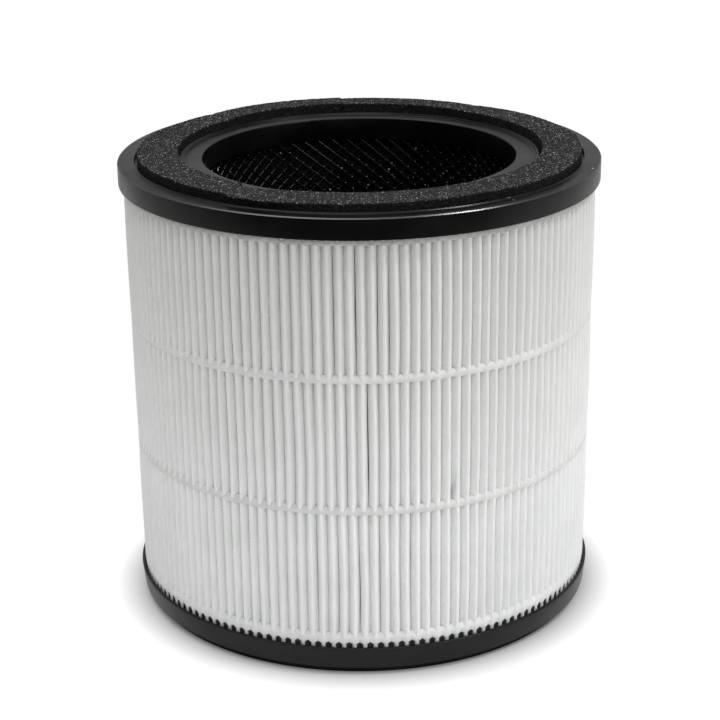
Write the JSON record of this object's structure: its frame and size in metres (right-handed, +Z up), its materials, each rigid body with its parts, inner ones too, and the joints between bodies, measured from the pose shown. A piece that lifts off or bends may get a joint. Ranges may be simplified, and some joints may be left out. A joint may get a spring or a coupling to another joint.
{
  "type": "air purifier filter",
  "caption": "Round air purifier filter: white pleated media between black moulded end caps, with a carbon bed and net lining its open well and a foam seal on top.",
  "frame": {"origin": "middle of the standing face, under the bottom cap", "axes": "+Z up along the filter's axis, out of its open mouth; -Y towards the picture's camera"},
  "size_m": [0.186, 0.186, 0.1809],
  "materials": {
    "cap_plastic": "satin black, fine moulded grain",
    "seal_foam": "open-cell charcoal foam",
    "filter_media": "white non-woven, fine bonded texture",
    "bead_glue": "white hot-melt adhesive",
    "potting_glue": "dark potting adhesive",
    "net_plastic": "black extruded net",
    "carbon": "packed carbon granules",
    "scrim": "thin white non-woven sleeve"
  },
  "bodies": {
    "root": {"top_cap": "cap_plastic", "bottom_cap": "cap_plastic", "foam_back_right": "seal_foam", "foam_back_left": "seal_foam", "foam_left": "seal_foam", "foam_front": "seal_foam", "foam_right": "seal_foam", "pleated_media": "filter_media", "seam_glue": "bead_glue", "bottom_bead": "bead_glue", "lower_bead": "bead_glue", "upper_bead": "bead_glue", "top_bead": "bead_glue", "top_potting": "potting_glue", "bottom_potting": "potting_glue", "inner_net": "net_plastic", "carbon_bed": "carbon", "scrim_sleeve": "scrim"}
  },
  "joints": []
}
